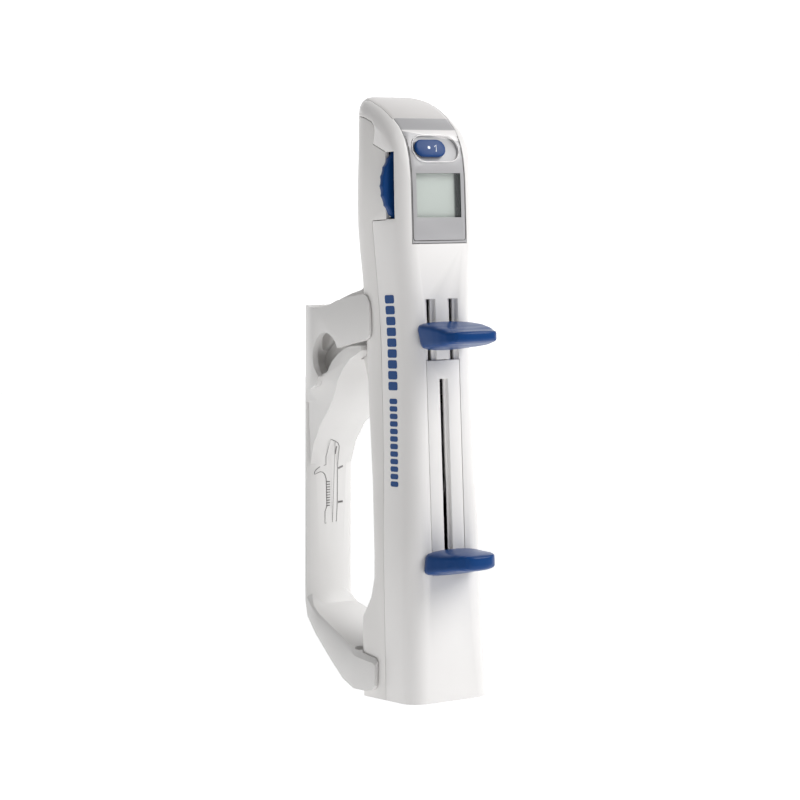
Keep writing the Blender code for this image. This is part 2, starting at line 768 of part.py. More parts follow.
def make_dial():
    """The volume dial: a scalloped wheel, part of whose rim stands out of the left side."""
    centre = dial_centre()
    half = Vector((0, DIAL_THICK / 2, 0))
    rings = []
    steps = DIAL_NOTCHES * 3
    for y, share in ((-1.0, 0.965), (-0.72, 1.0), (0.72, 1.0), (1.0, 0.965)):
        ring = []
        for i in range(steps):
            turn = 2 * math.pi * i / steps
            radius = DIAL_RADIUS * share - (0.0, 0.35, 0.35)[i % 3] * MM
            ring.append(centre + half * y + radius * Vector((math.cos(turn), 0, math.sin(turn))))
        rings.append(ring)
    wheel = loft(rings)
    cut(wheel, cylinder(centre - 2 * half, centre + 2 * half, AXLE_RADIUS + RUN, 24))
    part("volume_dial", wheel, blue_plastic(), centre)


# ---- levers and mechanism -------------------------------------------------------------------
def lever_ring(y, half_width, half_height, middle, count=20):
    """A soft-cornered section of a lever, standing across the pipette."""
    ring = []
    for i in range(count):
        turn = 2 * math.pi * i / count
        c, s = math.cos(turn), math.sin(turn)
        x = half_width * math.copysign(abs(c) ** 0.55, c)
        z = half_height * math.copysign(abs(s) ** 0.75, s)
        ring.append((x, y, middle + z))
    return ring


def lever(sections, z, name):
    front = section_at(z)[1] - 0.5 * MM
    rings = []
    for reach, half_width, half_height, rise in sections:
        rings.append(lever_ring(front - reach * MM, half_width * MM, half_height * MM, z + rise * MM))
    made = loft(rings)
    part(name, made, blue_plastic(), (0.0, front, z))


DISPENSE_SECTIONS = (
    (0.0, 12.6, 5.3, 0.0), (1.2, 13.2, 5.8, 0.0), (5.0, 13.2, 5.3, -0.1), (9.5, 12.9, 3.9, -0.2),
    (14.5, 12.2, 2.9, 0.0), (19.0, 10.9, 2.7, 0.4), (22.0, 9.0, 2.4, 0.6), (23.2, 6.6, 1.6, 0.7),
)
FILL_SECTIONS = (
    (0.0, 11.8, 4.2, 0.0), (1.2, 12.4, 4.7, 0.0), (5.0, 12.3, 4.6, 0.3), (9.5, 11.8, 4.1, 1.0),
    (14.5, 10.6, 3.8, 1.9), (19.0, 8.6, 3.7, 2.6), (21.6, 6.4, 3.3, 2.9), (22.8, 4.4, 2.2, 3.0),
)


def carriage_z():
    return from_crest(DISPENSE_DROP)


def rack_top():
    return carriage_z() - 9 * MM


def tongues(x, width, z, height, back):
    """A lever's tongue: as wide as fits its slot outside, and a thin rib through the slit."""
    front, half = section_at(z)[1] - 0.4 * MM, height / 2
    rib = box((x - LEVER_RIB / 2, front + 0.4 * MM, z - half), (x + LEVER_RIB / 2, back, z + half))
    head = box((x - width / 2, front, z - half), (x + width / 2, recess_floor() - GAP, z + half))
    return rib, head


def make_dispenser():
    z = carriage_z()
    lever(DISPENSE_SECTIONS, z, "dispense_lever")
    half = 6.0 * MM
    block = box((-13.4 * MM, -13.2 * MM, z - half), (13.4 * MM, 3.2 * MM, z + half))
    cut(block, box((-5.0 * MM, -4.0 * MM, z - 20 * MM), (5.0 * MM, 20 * MM, z + 20 * MM)))
    cut(block, box((-1.9 * MM, -12.5 * MM, z - 20 * MM), (1.9 * MM, 20 * MM, z + 20 * MM)))
    front = section_at(z)[1] - 0.4 * MM
    middle = (SLOT_IN + SLOT_OUT) / 2
    for side in (-1, 1):
        join(block, *tongues(side * middle, TONGUE, z, TONGUE_HEIGHT, -13 * MM))
        x = side * ROD_X
        cut(block, cylinder((x, 0, z - 20 * MM), (x, 0, z + 20 * MM), ROD_RADIUS + RUN, 16))
    pivot = pawl_pivot()
    cut(block, cylinder(pivot - Vector((6 * MM, 0, 0)), pivot + Vector((6 * MM, 0, 0)), 0.9 * MM, 12))
    part("lever_carriage", block, white_plastic(), (0.0, front, z))

    pin = cylinder(pivot - Vector((5.6 * MM, 0, 0)), pivot + Vector((5.6 * MM, 0, 0)), 0.75 * MM, 12)
    part("pawl_pin", pin, steel())
    top, nose = pivot.z + 2.2 * MM, pivot.z - 5.4 * MM
    shape = [(-11.2 * MM, pivot.z), (-10.0 * MM, top), (-7.6 * MM, top), (-6.6 * MM, pivot.z),
             (-3.1 * MM, nose + 1.6 * MM), (-3.1 * MM, nose), (-6.4 * MM, nose)]
    pawl = outline_solid(shape, 1.6 * MM)
    cut(pawl, cylinder(pivot - Vector((6 * MM, 0, 0)), pivot + Vector((6 * MM, 0, 0)), 0.9 * MM, 12))
    part("drive_pawl", pawl, steel(), pivot)


def pawl_pivot():
    return Vector((0.0, -8.8 * MM, carriage_z() + 2.0 * MM))


def make_rods():
    """Two guide rods with the return springs under the carriage."""
    z = carriage_z()
    low, high = z - 28 * MM, z + 26 * MM
    for side, label in ((-1, "left"), (1, "right")):
        x = side * ROD_X
        part(f"guide_rod_{label}", cylinder((x, 0, low), (x, 0, high), ROD_RADIUS, 12), steel())
        part(f"return_spring_{label}", spring(x, low + 4.4 * MM, z - 6.4 * MM), steel())


def spring(x, low, high):
    """A round-wire compression spring about a guide rod."""
    curve = bpy.data.curves.new("spring", "CURVE")
    curve.dimensions = "3D"
    curve.bevel_depth = SPRING_WIRE
    curve.bevel_resolution = 0
    curve.use_fill_caps = True
    per_turn = 10
    count = SPRING_TURNS * per_turn + 1
    line = curve.splines.new("POLY")
    line.points.add(count - 1)
    low, high = low + SPRING_WIRE, high - SPRING_WIRE
    for i, point in enumerate(line.points):
        turn = 2 * math.pi * i / per_turn
        point.co = (x + SPRING_RADIUS * math.cos(turn), SPRING_RADIUS * math.sin(turn),
                    low + (high - low) * i / (count - 1), 1.0)
    return solid_from_curve(new_object("spring", curve), "spring")


def make_filler():
    z = FILL_LEVER_Z
    lever(FILL_SECTIONS, z, "fill_lever")
    front = section_at(z)[1] - 0.4 * MM
    back = RACK_DEPTH / 2
    teeth = [(back, RACK_FOOT), (back, rack_top()), (-back, rack_top())]
    count = int((rack_top() - RACK_FOOT - 14 * MM) / RACK_PITCH)
    for i in range(count):
        top = rack_top() - 2 * MM - i * RACK_PITCH
        teeth += [(-back, top), (-back + 1.3 * MM, top - 0.2 * MM), (-back, top - RACK_PITCH + 0.8 * MM)]
    teeth.append((-back, RACK_FOOT))
    rack = outline_solid(teeth, RACK_WIDTH / 2)
    join(rack, *tongues(0.0, FILL_TONGUE, z, FILL_TONGUE_HEIGHT, 0.0))
    part("fill_rack", rack, white_plastic(), (0.0, front, z))

    top = RACK_FOOT - GAP
    gripper = cylinder((0, 0, top - GRIPPER_LENGTH), (0, 0, top), GRIPPER_RADIUS)
    cut(gripper, cylinder((0, 0, top - GRIPPER_LENGTH - 9 * MM), (0, 0, top - 4 * MM), 3.4 * MM))
    reach = 2 * GRIPPER_RADIUS
    cut(gripper, box((-reach, -0.8 * MM, top - 30 * MM), (reach, 0.8 * MM, top - 7 * MM)))
    part("piston_gripper", gripper, steel(), (0.0, 0.0, top))


def make_chassis():
    z = carriage_z()
    low, high = 24 * MM, from_crest(DIAL_DROP) - 22 * MM
    y = CHASSIS_Y
    plate = box((-9 * MM, y, low), (9 * MM, y + CHASSIS_THICK, high))
    for shelf in (z - 27 * MM, z + 22 * MM):
        for side in (-1, 1):
            x = side * ROD_X
            ends = sorted((side * 6.5 * MM, side * 14.0 * MM))
            lug = box((ends[0], -2.6 * MM, shelf), (ends[1], y + 1.0 * MM, shelf + 3 * MM))
            cut(lug, cylinder((x, 0, shelf - 5 * MM), (x, 0, shelf + 9 * MM), ROD_RADIUS + 0.1 * MM, 12))
            join(plate, lug)
    for side in (-1, 1):
        ends = sorted((side * 7.0 * MM, side * 16.0 * MM))
        base = CLAMP_PIVOT_Z - 3.5 * MM
        ear = box((ends[0], y - 0.6 * MM, base), (ends[1], y + CHASSIS_THICK - 0.2 * MM, base + 7 * MM))
        x = side * CLAMP_X
        cut(ear, cylinder((x, 0, CLAMP_PIVOT_Z), (x, 30 * MM, CLAMP_PIVOT_Z), PIN_RADIUS + 0.08 * MM, 12))
        join(plate, ear)
    part("chassis", plate, dark_plastic())


def make_socket():
    """The collar that the dispensing tip is pushed into, and the two clamps that hold its flange."""
    low = 0.4 * MM
    collar = cylinder((0, 0, low), (0, 0, low + SOCKET_HEIGHT), SOCKET_RADIUS + SOCKET_WALL, 32)
    cut(collar, cylinder((0, 0, -9 * MM), (0, 0, 40 * MM), SOCKET_RADIUS, 32))
    part("tip_socket", collar, grey_plastic())
    jaw_z = low + SOCKET_HEIGHT + 0.8 * MM
    for side, label in ((-1, "left"), (1, "right")):
        pivot = Vector((side * CLAMP_X, 0.0, CLAMP_PIVOT_Z))
        thick = 0.9 * MM
        bar = box((pivot.x - thick, -5 * MM, jaw_z), (pivot.x + thick, 5 * MM, CLAMP_PIVOT_Z + 11 * MM))
        ends = sorted((pivot.x, side * 9.6 * MM))
        jaw = box((ends[0], -5 * MM, jaw_z), (ends[1], 5 * MM, jaw_z + 2.4 * MM))
        boss = cylinder(pivot - Vector((0, 5 * MM, 0)), pivot + Vector((0, 5 * MM, 0)), 2.0 * MM, 16)
        join(bar, jaw, boss)
        cut(bar, cylinder(pivot - Vector((0, 9 * MM, 0)), pivot + Vector((0, 9 * MM, 0)),
                          PIN_RADIUS + RUN, 16))
        part(f"tip_clamp_{label}", bar, white_plastic(), pivot)
        pin = cylinder(pivot - Vector((0, 6 * MM, 0)),
                       Vector((pivot.x, CHASSIS_Y + CHASSIS_THICK - 0.4 * MM, pivot.z)), PIN_RADIUS, 12)
        part(f"clamp_pin_{label}", pin, steel())


def make_screws():
    """The two screws that hold the rear shell."""
    for label, z in (("upper", from_crest(48 * MM) - 3 * MM), ("lower", 14 * MM)):
        back = section_at(z)[2]
        head = cylinder((0, back - 1.6 * MM, z), (0, back - 0.5 * MM, z), 1.6 * MM, 12)
        shank = cylinder((0, back - 6.0 * MM, z), (0, back - 1.2 * MM, z), 0.8 * MM, 12)
        part(f"shell_screw_{label}", join(head, shank), steel())


# ---- holder ---------------------------------------------------------------------------------
def pipette_frame():
    """From the pipette's own frame to a frame that stands upright at the same origin."""
    return Matrix.Rotation(-HANG_ANGLE, 4, "X")


def held(y, z):
    """A drawn point of the holder, moved out with the wall and up with the hook, in metres."""
    out_share = min(1.0, max(0.0, (y - 30.0) / 29.0))
    up_share = min(1.0, max(0.0, (z - 45.0) / 35.0))
    return (y * MM + (WALL_TO_TIP - DRAWN_REACH) * out_share,
            z * MM + (from_crest(HOOK_DROP) - DRAWN_HOOK) * up_share)


def arm_ring(row):
    """A section of the spine: flat at the back and crowned at the front."""
    (inner_y, inner_z), (outer_y, outer_z), half = held(*row[:2]), held(*row[2:4]), row[4] * MM
    inner, outer = Vector((0, inner_y, inner_z)), Vector((0, outer_y, outer_z))
    across = inner - outer
    points = []
    for x, share in ((-1.0, 0.0), (-1.0, 0.30), (-0.82, 0.58), (-0.5, 0.88), (0.0, 1.0),
                     (0.5, 0.88), (0.82, 0.58), (1.0, 0.30), (1.0, 0.0)):
        point = outer + across * share
        points.append((x * half, point.y, point.z))
    return points


def arm_block_ring(row):
    """A section of the lower arm near the pipette: the full depth over its whole width."""
    (inner_y, inner_z), (outer_y, outer_z), half = held(*row[:2]), held(*row[2:4]), row[4] * MM
    inner, outer = Vector((0, inner_y, inner_z)), Vector((0, outer_y, outer_z))
    across = inner - outer
    points = []
    for x, share in ((-1.0, 0.0), (-1.0, 0.80), (-0.94, 0.93), (-0.5, 0.99), (0.0, 1.0),
                     (0.5, 0.99), (0.94, 0.93), (1.0, 0.80), (1.0, 0.0)):
        point = outer + across * share
        points.append((x * half, point.y, point.z))
    return points


def spine_back():
    return WALL_TO_TIP - PAD_THICK


def flare_ring(z, share):
    """A section of the bracket's back wall, as wide as the cheeks at share 1 and as the spine at 0."""
    back = spine_back()
    cheek_back = held(*CHEEK_OUTLINE[0])[0]
    half = SPINE_HALF + (CHEEK_OUT - SPINE_HALF) * share
    corner = back - 1.0 * MM - (back - 1.0 * MM - cheek_back) * share
    front = corner - 2.4 * MM
    corners = ((-SPINE_HALF, back), (-half, corner), (-half, front), (half, front), (half, corner),
               (SPINE_HALF, back))
    return [(x, y, z) for x, y in corners]


def hollow_between_cheeks(foot):
    """The space between the cheeks, which narrows towards the spine's back wall."""
    wall = CHEEK_OUT - CHEEK_IN
    near, far = held(*CHEEK_OUTLINE[0])[0], spine_back() - SPINE_WALL + 0.8 * MM
    plan = ((-CHEEK_IN, 0.0), (CHEEK_IN, 0.0), (CHEEK_IN, near), (SPINE_HALF - 0.6 * wall, far),
            (-SPINE_HALF + 0.6 * wall, far), (-CHEEK_IN, near))
    return loft([[(x, y, z) for x, y in plan] for z in (foot, held(0.0, 180.0)[1])])


def saddle():
    """The ramp and bowl between the cheeks, flowing down into the spine and narrowing with it."""
    solid = outline_solid([held(y, z) for y, z in SADDLE_TOP + SADDLE_UNDER], CHEEK_IN + 0.4 * MM)
    rows = ((80.0, SPINE_HALF - 0.6 * MM), (100.0, SPINE_HALF), (112.0, 12.4 * MM),
            (124.0, CHEEK_IN + 0.4 * MM), (145.0, CHEEK_IN + 0.4 * MM))
    rings = []
    near, far = held(*CHEEK_OUTLINE[0])[0] - 0.7 * MM, spine_back() + 0.4 * MM
    for height, half in rows:
        z, tail = held(0.0, height)[1], min(half, SPINE_HALF) - 0.5 * MM
        rings.append([(-half, 0.0, z), (half, 0.0, z), (half, near, z), (tail, far, z),
                      (-tail, far, z), (-half, near, z)])
    return keep(solid, loft(rings))


def hook_rest():
    """The rib on the saddle that the finger hook's hollow rests on."""
    turn = pipette_frame()
    top = from_crest(HOOK_DROP)
    crest = []
    for y, z in HOOK_OUTLINE[HOOK_UNDERSIDE]:
        point = turn @ Vector((0, y * MM, top + z * MM))
        crest.append((point.y, point.z - HOLD_GAP - GAP))
    last = crest.pop()
    outline = [(crest[0][0] + 1.0 * MM, crest[0][1] - 4 * MM), *crest, (last[0] + 1.6 * MM, last[1] - 2 * MM),
               held(38.5, 131.0), held(60.0, 116.0)]
    return outline_solid(outline, RIB_HALF)


def make_holder():
    straight = 4
    rings = [arm_ring(row) for row in ARM_SECTIONS[:straight]]
    rings += [arm_block_ring(row) for row in ARM_SECTIONS[straight:]]
    top = list(ARM_SECTIONS[0])
    top[1] = top[3] = SPINE_TOP
    frame = loft([arm_ring(top), *rings])

    levels = ((112.0, 0.0), (116.0, 0.1), (120.0, 0.34), (125.0, 0.66), (130.0, 0.88), (136.0, 1.0),
              (SPINE_TOP + 0.6, 1.0))
    flare = loft([flare_ring(held(0.0, z)[1], share) for z, share in levels])
    cheeks = outline_solid([held(y, z) for y, z in CHEEK_OUTLINE], CHEEK_OUT)
    join(cheeks, flare)
    cut(cheeks, hollow_between_cheeks(held(0.0, 100.0)[1]))
    notch = Vector((0.0, *held(*NOTCH_CENTRE)))
    across = Vector((30 * MM, 0, 0))
    cut(cheeks, cylinder(notch - across, notch + across, NOTCH_RADIUS, 40))
    cut(frame, hollow_between_cheeks(held(0.0, 120.0)[1]))
    join(frame, cheeks, saddle(), hook_rest())
    behind = spine_back() + 0.02 * MM
    cut(frame, box((-CHEEK_OUT - RUN, behind, 0.0), (CHEEK_OUT + RUN, behind + WALL_TO_TIP, BODY_HEIGHT)))

    room = placed(body_form(-HOLD_GAP), pipette_frame())
    cut(frame, room)
    hook = placed(outline_solid(hook_points(), HOOK_HALF + 2 * HOLD_GAP), pipette_frame())
    hook.data.transform(Matrix.Translation((0, 0, -HOLD_GAP)))
    cut(frame, hook)
    for side in (-1, 1):
        corner = Vector((side * (section_at(0)[0] - 2.2 * MM), 21.4 * MM, 0))
        cut(frame, cylinder(corner - Vector((0, 0, 9 * MM)), corner + Vector((0, 0, 30 * MM)), 2.4 * MM, 20))
    placed(frame, Matrix.Translation((0, -WALL_TO_TIP, -MOUNT_Z)))
    bake(frame)
    part("holder_frame", frame, grey_plastic())

    width, height = PAD_SIZE
    pad = box((-width / 2, -PAD_THICK + GAP, -height / 2), (width / 2, 0.0, height / 2))
    part("adhesive_pad", pad, material("foam_pad", (0.12, 0.12, 0.12), 0.9))


def hang_pipette(names):
    """Parents every piece of the pipette to its own leaning frame."""
    frame = bpy.data.objects.new("pipette_frame", None)
    BODY_COLLECTION.objects.link(frame)
    frame.location = (0, -WALL_TO_TIP, -MOUNT_Z)
    frame.rotation_euler = (-HANG_ANGLE, 0, 0)
    for name in names:
        PARTS[name].parent = frame


def main():
    clear_scene()
    make_casing()
    make_switch()
    make_head()
    make_dial()
    make_dispenser()
    make_rods()
    make_filler()
    make_chassis()
    make_socket()
    make_screws()
    hang_pipette(list(PARTS))
    make_holder()
    bpy.context.view_layer.update()


main()
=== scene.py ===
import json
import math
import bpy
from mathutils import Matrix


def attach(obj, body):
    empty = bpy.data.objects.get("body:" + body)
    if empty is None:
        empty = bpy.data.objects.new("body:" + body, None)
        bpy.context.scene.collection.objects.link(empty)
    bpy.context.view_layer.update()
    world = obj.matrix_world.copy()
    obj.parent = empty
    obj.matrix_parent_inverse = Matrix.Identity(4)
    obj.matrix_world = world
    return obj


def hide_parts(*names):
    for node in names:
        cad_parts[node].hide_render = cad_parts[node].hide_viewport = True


bl_info = {
    "name": "Repeating Pipette in Wall Holder",
    "version": (1, 0, 0),
    "blender": (4, 5, 0),
    "location": "View3D > Sidebar > Pipette",
    "description": "Builds the finished surfaces of a repeating pipette and its wall holder",
    "category": "Object",
}

import bmesh
import bpy
from mathutils import Matrix, Vector

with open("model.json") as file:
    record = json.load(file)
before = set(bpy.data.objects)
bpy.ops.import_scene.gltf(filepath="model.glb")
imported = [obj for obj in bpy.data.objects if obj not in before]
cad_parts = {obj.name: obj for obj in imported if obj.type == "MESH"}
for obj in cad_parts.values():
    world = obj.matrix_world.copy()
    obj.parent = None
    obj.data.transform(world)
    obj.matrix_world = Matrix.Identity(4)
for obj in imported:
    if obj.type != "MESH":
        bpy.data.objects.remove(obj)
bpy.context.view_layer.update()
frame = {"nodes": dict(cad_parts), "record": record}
MM = 0.001

# The pipette is worked on upright from its foot, and leans back in its holder.
LEAN = math.radians(3.7)
FOOT = Vector((0.0, -0.076, -0.100))
UPRIGHT = Matrix.Translation(FOOT) @ Matrix.Rotation(-LEAN, 4, "X")
TO_UPRIGHT = UPRIGHT.inverted()

# Prints and joint lines start this far out, and are then laid on the shell behind them.
CLEAR_OF_SHELL = -30.0 * MM

# Printed blocks down the left side, in millimetres: top, count, pitch, height and width of a run.
PRINT_RUNS = ((158.6, 9, 4.25, 3.3, 6.4), (118.6, 12, 2.95, 2.1, 5.4))
PRINT_Y = -8.7 * MM
PRINT_CORNER = 0.9 * MM

# The painted reflection on the display panel, a pale band, by height over the wall mount:
# its level top, its foot, which falls to the right, and how far each edge fades.
PAINTED_REFLECTION_TOP = 124.9 * MM
PAINTED_REFLECTION_FOOT = 122.1 * MM
PAINTED_REFLECTION_SLANT = 0.15
PAINTED_REFLECTION_TOP_FADE = 0.25 * MM
PAINTED_REFLECTION_FOOT_FADE = 0.5 * MM

# Where the painted shade of the frame starts and ends across the LCD.
LCD_PAINTED_SHADE = (8.0 * MM, 9.3 * MM)

# The joint round the display panel: its place in from the edge, its corners, top and thickness.
JOINT_INSET = 0.28 * MM
JOINT_CORNER = 1.2 * MM
JOINT_TOP = 221.0 * MM
JOINT_RADIUS = 0.15 * MM
JOINT_STEP = 1.5 * MM

# The slider's oval on its sloping face: half the way between its round ends, their radius, and how
# far the slider and its marks stand out of the face.
SLIDER_SLOPE = math.radians(70)
OVAL_REACH = 5.3 * MM
OVAL_RADIUS = 5.55 * MM
SLIDER_HEIGHT = 0.9 * MM
MARK_HEIGHT = 0.93 * MM

# The levers' root, their levels above the foot, and how square they are across and at the tip.
LEVER_ROOT = -20.5 * MM
DISPENSE_LEVEL = 143.6 * MM
FILL_LEVEL = 54.8 * MM
SIDE_ROUNDING = 7.0
TIP_ROUNDING = 5.0

# Levers by share of their reach: half width as a share of the widest, and the side wall's top and
# foot in millimetres.
DISPENSE_PLAN = (
    (0.0, 0.955), (0.05, 1.0), (0.22, 1.0), (0.41, 0.985),
    (0.625, 0.95), (0.82, 0.885), (0.95, 0.77), (1.0, 0.66),
)
FILL_PLAN = (
    (0.0, 0.94), (0.05, 0.98), (0.22, 0.98), (0.42, 0.94),
    (0.64, 0.86), (0.83, 0.72), (0.95, 0.57), (1.0, 0.46),
)
DISPENSE_TOP = ((0.0, 4.9), (0.15, 5.3), (0.4, 4.9), (0.62, 3.8), (0.84, 2.2), (1.0, 1.9))
DISPENSE_FOOT = ((0.0, -4.7), (0.18, -4.6), (0.42, -4.3), (0.62, -3.9), (0.84, -3.0), (1.0, -2.4))
FILL_TOP = ((0.0, 4.4), (0.15, 4.6), (0.45, 4.3), (0.8, 4.5), (1.0, 4.6))
FILL_FOOT = ((0.0, -4.1), (0.15, -3.9), (0.45, -2.6), (0.8, -1.5), (1.0, -1.0))

# The symbol on the holder, in millimetres across and up from the pipette's foot.
SYMBOL_Y = 40.0 * MM
SYMBOL_OUTLINE = (
    (-2.8, 96.6), (0.0, 95.5), (1.6, 94.6), (2.5, 93.2), (2.8, 91.0), (2.5, 84.0), (2.5, 70.0),
    (2.1, 61.3), (-3.5, 60.7), (-3.5, 65.7), (-2.6, 68.0), (-3.0, 79.6), (-3.6, 81.4), (-4.6, 82.4),
    (-5.7, 82.7), (-8.0, 81.6), (-8.0, 82.6), (-7.4, 83.6), (-6.0, 84.7), (-3.1, 85.5), (-3.1, 89.0),
)

# The studio, in metres: the floor, the room's brightness away from and towards its bright side,
# each lamp's name, place, size and power, and the camera.
FLOOR_SIZE = 12.0
FLOOR_LEVEL = -0.6
FLOOR_GLOW = 0.6
BRIGHT_SIDE = (0.55, 0.83, 0.0)
ROOM_FADE = (0.35, 0.85)
ROOM_BRIGHTNESS = (0.27, 1.25)
LAMP_AIM = Vector((0.0, -0.06, 0.01))
LAMPS = (("key", (1.0, -1.1, 1.25), 1.3, 29.0), ("rim", (-0.9, 0.7, 1.2), 0.8, 1.5))
CAMERA_PLACE = (-0.5495, -0.8881, 0.1145)
CAMERA_TURN = math.radians(33.47)
CAMERA_DIP = math.radians(5.591)
CAMERA_ROLL = math.radians(0.3)
SENSOR_WIDTH = 36.0


# ---- sizes and colours ----------------------------------------------------------------------
def colour(name, description, value):
    return bpy.props.FloatVectorProperty(
        name=name, description=description, subtype="COLOR",
        size=3, min=0.0, max=1.0, default=value,
    )


def length(name, description, value):
    return bpy.props.FloatProperty(
        name=name, description=description, subtype="DISTANCE",
        unit="LENGTH", min=0.0, default=value,
    )


class PipetteColours(bpy.types.PropertyGroup):
    shell: colour("Front shell", "White of the front shell and slot panel", (0.80, 0.785, 0.775))
    back: colour("Rear shell", "Light grey of the rear shell", (0.79, 0.775, 0.76))
    cap: colour("Top cap", "Warm grey of the cap on the head", (0.66, 0.64, 0.63))
    silver: colour("Display panel", "Silver grey of the display panel", (0.42, 0.415, 0.425))
    # Painted reflection: the pale band across the display panel. The same colour is the slider rim's
    # own.
    painted_reflection_and_rim: colour("Display band", "Pale band across the display panel", (0.80, 0.78, 0.775))
    blue: colour("Blue", "Blue of the levers, dial and slider", (0.004, 0.048, 0.19))
    ink: colour("Print", "Blue of the printed blocks on the side", (0.010, 0.062, 0.22))
    lcd: colour("LCD", "Grey green of the blank LCD", (0.76, 0.82, 0.77))
    # Near black of the LCD's surround, also laid on as painted shade across the LCD's right end and in
    # part on the walls round it.
    dark: colour("Dark trim", "Near black of the LCD's surround", (0.035, 0.04, 0.04))
    mark: colour("White marks", "White of the marks on the slider", (0.85, 0.90, 0.95))
    symbol: colour("Symbol", "Grey of the line symbol on the holder", (0.30, 0.29, 0.29))
    holder: colour("Holder", "Light grey of the wall holder", (0.74, 0.73, 0.72))


class PipetteSizes(bpy.types.PropertyGroup):
    edge: length("Edge round", "Radius on the shells' seams and slots", 0.35 * MM)
    holder_edge: length("Holder edge", "Radius on the holder's edges", 0.7 * MM)
    lens: bpy.props.FloatProperty(
        name="Lens", description="Focal length in millimetres", unit="CAMERA", default=112.05
    )


def colours():
    return bpy.context.scene.pipette_colours


def sizes():
    return bpy.context.scene.pipette_sizes


# ---- materials ------------------------------------------------------------------------------
PLASTIC_IOR = 1.49


def new_material(name, settings):
    """A node material whose shader starts from the given settings."""
    made = bpy.data.materials.new(name)
    made.use_nodes = True
    shader = made.node_tree.nodes["Principled BSDF"]
    for socket, value in settings.items():
        shader.inputs[socket].default_value = value
    return made, made.node_tree.nodes, made.node_tree.links, shader


def moulded_plastic(
    name, tint, roughness=0.42, spread=0.03, grain=900.0, bump=0.05, coat=0.0, shine=0.5
):
    """Injection-moulded plastic: a faint drift in shade and a fine spark-eroded grain."""
    made, nodes, links, shader = new_material(name, {
        "Roughness": roughness,
        "IOR": PLASTIC_IOR,
        "Coat Weight": coat,
        "Coat Roughness": 0.08,
        "Specular IOR Level": shine,
    })
    place = nodes.new("ShaderNodeTexCoord")
    drift = nodes.new("ShaderNodeTexNoise")
    drift.inputs["Scale"].default_value = 22.0
    drift.inputs["Detail"].default_value = 3.0
    ramp = nodes.new("ShaderNodeValToRGB")
    low = [max(0.0, c * (1 - spread)) for c in tint]
    high = [min(1.0, c * (1 + spread)) for c in tint]
    ramp.color_ramp.elements[0].position = 0.3
    ramp.color_ramp.elements[1].position = 0.7
    ramp.color_ramp.elements[0].color = (*low, 1.0)
    ramp.color_ramp.elements[1].color = (*high, 1.0)
    fine = nodes.new("ShaderNodeTexNoise")
    fine.inputs["Scale"].default_value = grain
    fine.inputs["Detail"].default_value = 4.0
    gloss = nodes.new("ShaderNodeMapRange")
    gloss.inputs["To Min"].default_value = roughness - 0.05
    gloss.inputs["To Max"].default_value = roughness + 0.06
    relief = nodes.new("ShaderNodeBump")
    relief.inputs["Strength"].default_value = bump
    relief.inputs["Distance"].default_value = 0.0002
    links.new(place.outputs["Object"], drift.inputs["Vector"])
    links.new(place.outputs["Object"], fine.inputs["Vector"])
    links.new(drift.outputs["Fac"], ramp.inputs["Fac"])
    links.new(ramp.outputs["Color"], shader.inputs["Base Color"])
    links.new(fine.outputs["Fac"], gloss.inputs["Value"])
    links.new(gloss.outputs["Result"], shader.inputs["Roughness"])
    links.new(fine.outputs["Fac"], relief.inputs["Height"])
    links.new(relief.outputs["Normal"], shader.inputs["Normal"])
    return made


def brushed_metal(name, tint, roughness=0.3):
    """Turned or drawn steel with fine lines along the piece."""
    made, nodes, links, shader = new_material(name, {"Base Color": (*tint, 1.0), "Metallic": 1.0})
    place = nodes.new("ShaderNodeTexCoord")
    stretch = nodes.new("ShaderNodeMapping")
    stretch.inputs["Scale"].default_value = (900.0, 900.0, 60.0)
    lines = nodes.new("ShaderNodeTexNoise")
    lines.inputs["Scale"].default_value = 1.0
    gloss = nodes.new("ShaderNodeMapRange")
    gloss.inputs["To Min"].default_value = roughness - 0.08
    gloss.inputs["To Max"].default_value = roughness + 0.1
    links.new(place.outputs["Object"], stretch.inputs["Vector"])
    links.new(stretch.outputs["Vector"], lines.inputs["Vector"])
    links.new(lines.outputs["Fac"], gloss.inputs["Value"])
    links.new(gloss.outputs["Result"], shader.inputs["Roughness"])
    return made


def clear_window(name):
    """Smooth clear plastic with a slight tint."""
    return new_material(name, {
        "Base Color": (0.30, 0.32, 0.32, 1.0),
        "Roughness": 0.03,
        "IOR": PLASTIC_IOR,
        "Alpha": 0.12,
    })[0]


def glowing_white(name):
    """Matt white that gives off a little light of its own."""
    return new_material(name, {
        "Base Color": (0.93, 0.93, 0.93, 1.0),
        "Roughness": 0.9,
        "Emission Color": (1.0, 1.0, 1.0, 1.0),
        "Emission Strength": FLOOR_GLOW,
    })[0]


def place_on_piece(nodes, links):
    """The X, Y and Z of a point on the piece."""
    place = nodes.new("ShaderNodeTexCoord")
    parts = nodes.new("ShaderNodeSeparateXYZ")
    links.new(place.outputs["Object"], parts.inputs["Vector"])
    return parts.outputs


def stepped(links, nodes, value, start, end):
    """A number that climbs from 0 to 1 as the value goes from start to end."""
    step = nodes.new("ShaderNodeMapRange")
    step.interpolation_type = "SMOOTHSTEP"
    step.inputs["From Min"].default_value = start
    step.inputs["From Max"].default_value = end
    links.new(value, step.inputs["Value"])
    return step.outputs["Result"]


def covered(made, tint, share):
    """Mixes a second colour over a material's own, by a share that varies over the piece."""
    nodes, links = made.node_tree.nodes, made.node_tree.links
    shader = nodes["Principled BSDF"]
    own = shader.inputs["Base Color"].links[0].from_socket
    mix = nodes.new("ShaderNodeMix")
    mix.data_type = "RGBA"
    mix.inputs["B"].default_value = (*tint, 1.0)
    links.new(share, mix.inputs["Factor"])
    links.new(own, mix.inputs["A"])
    links.new(mix.outputs["Result"], shader.inputs["Base Color"])
    return made


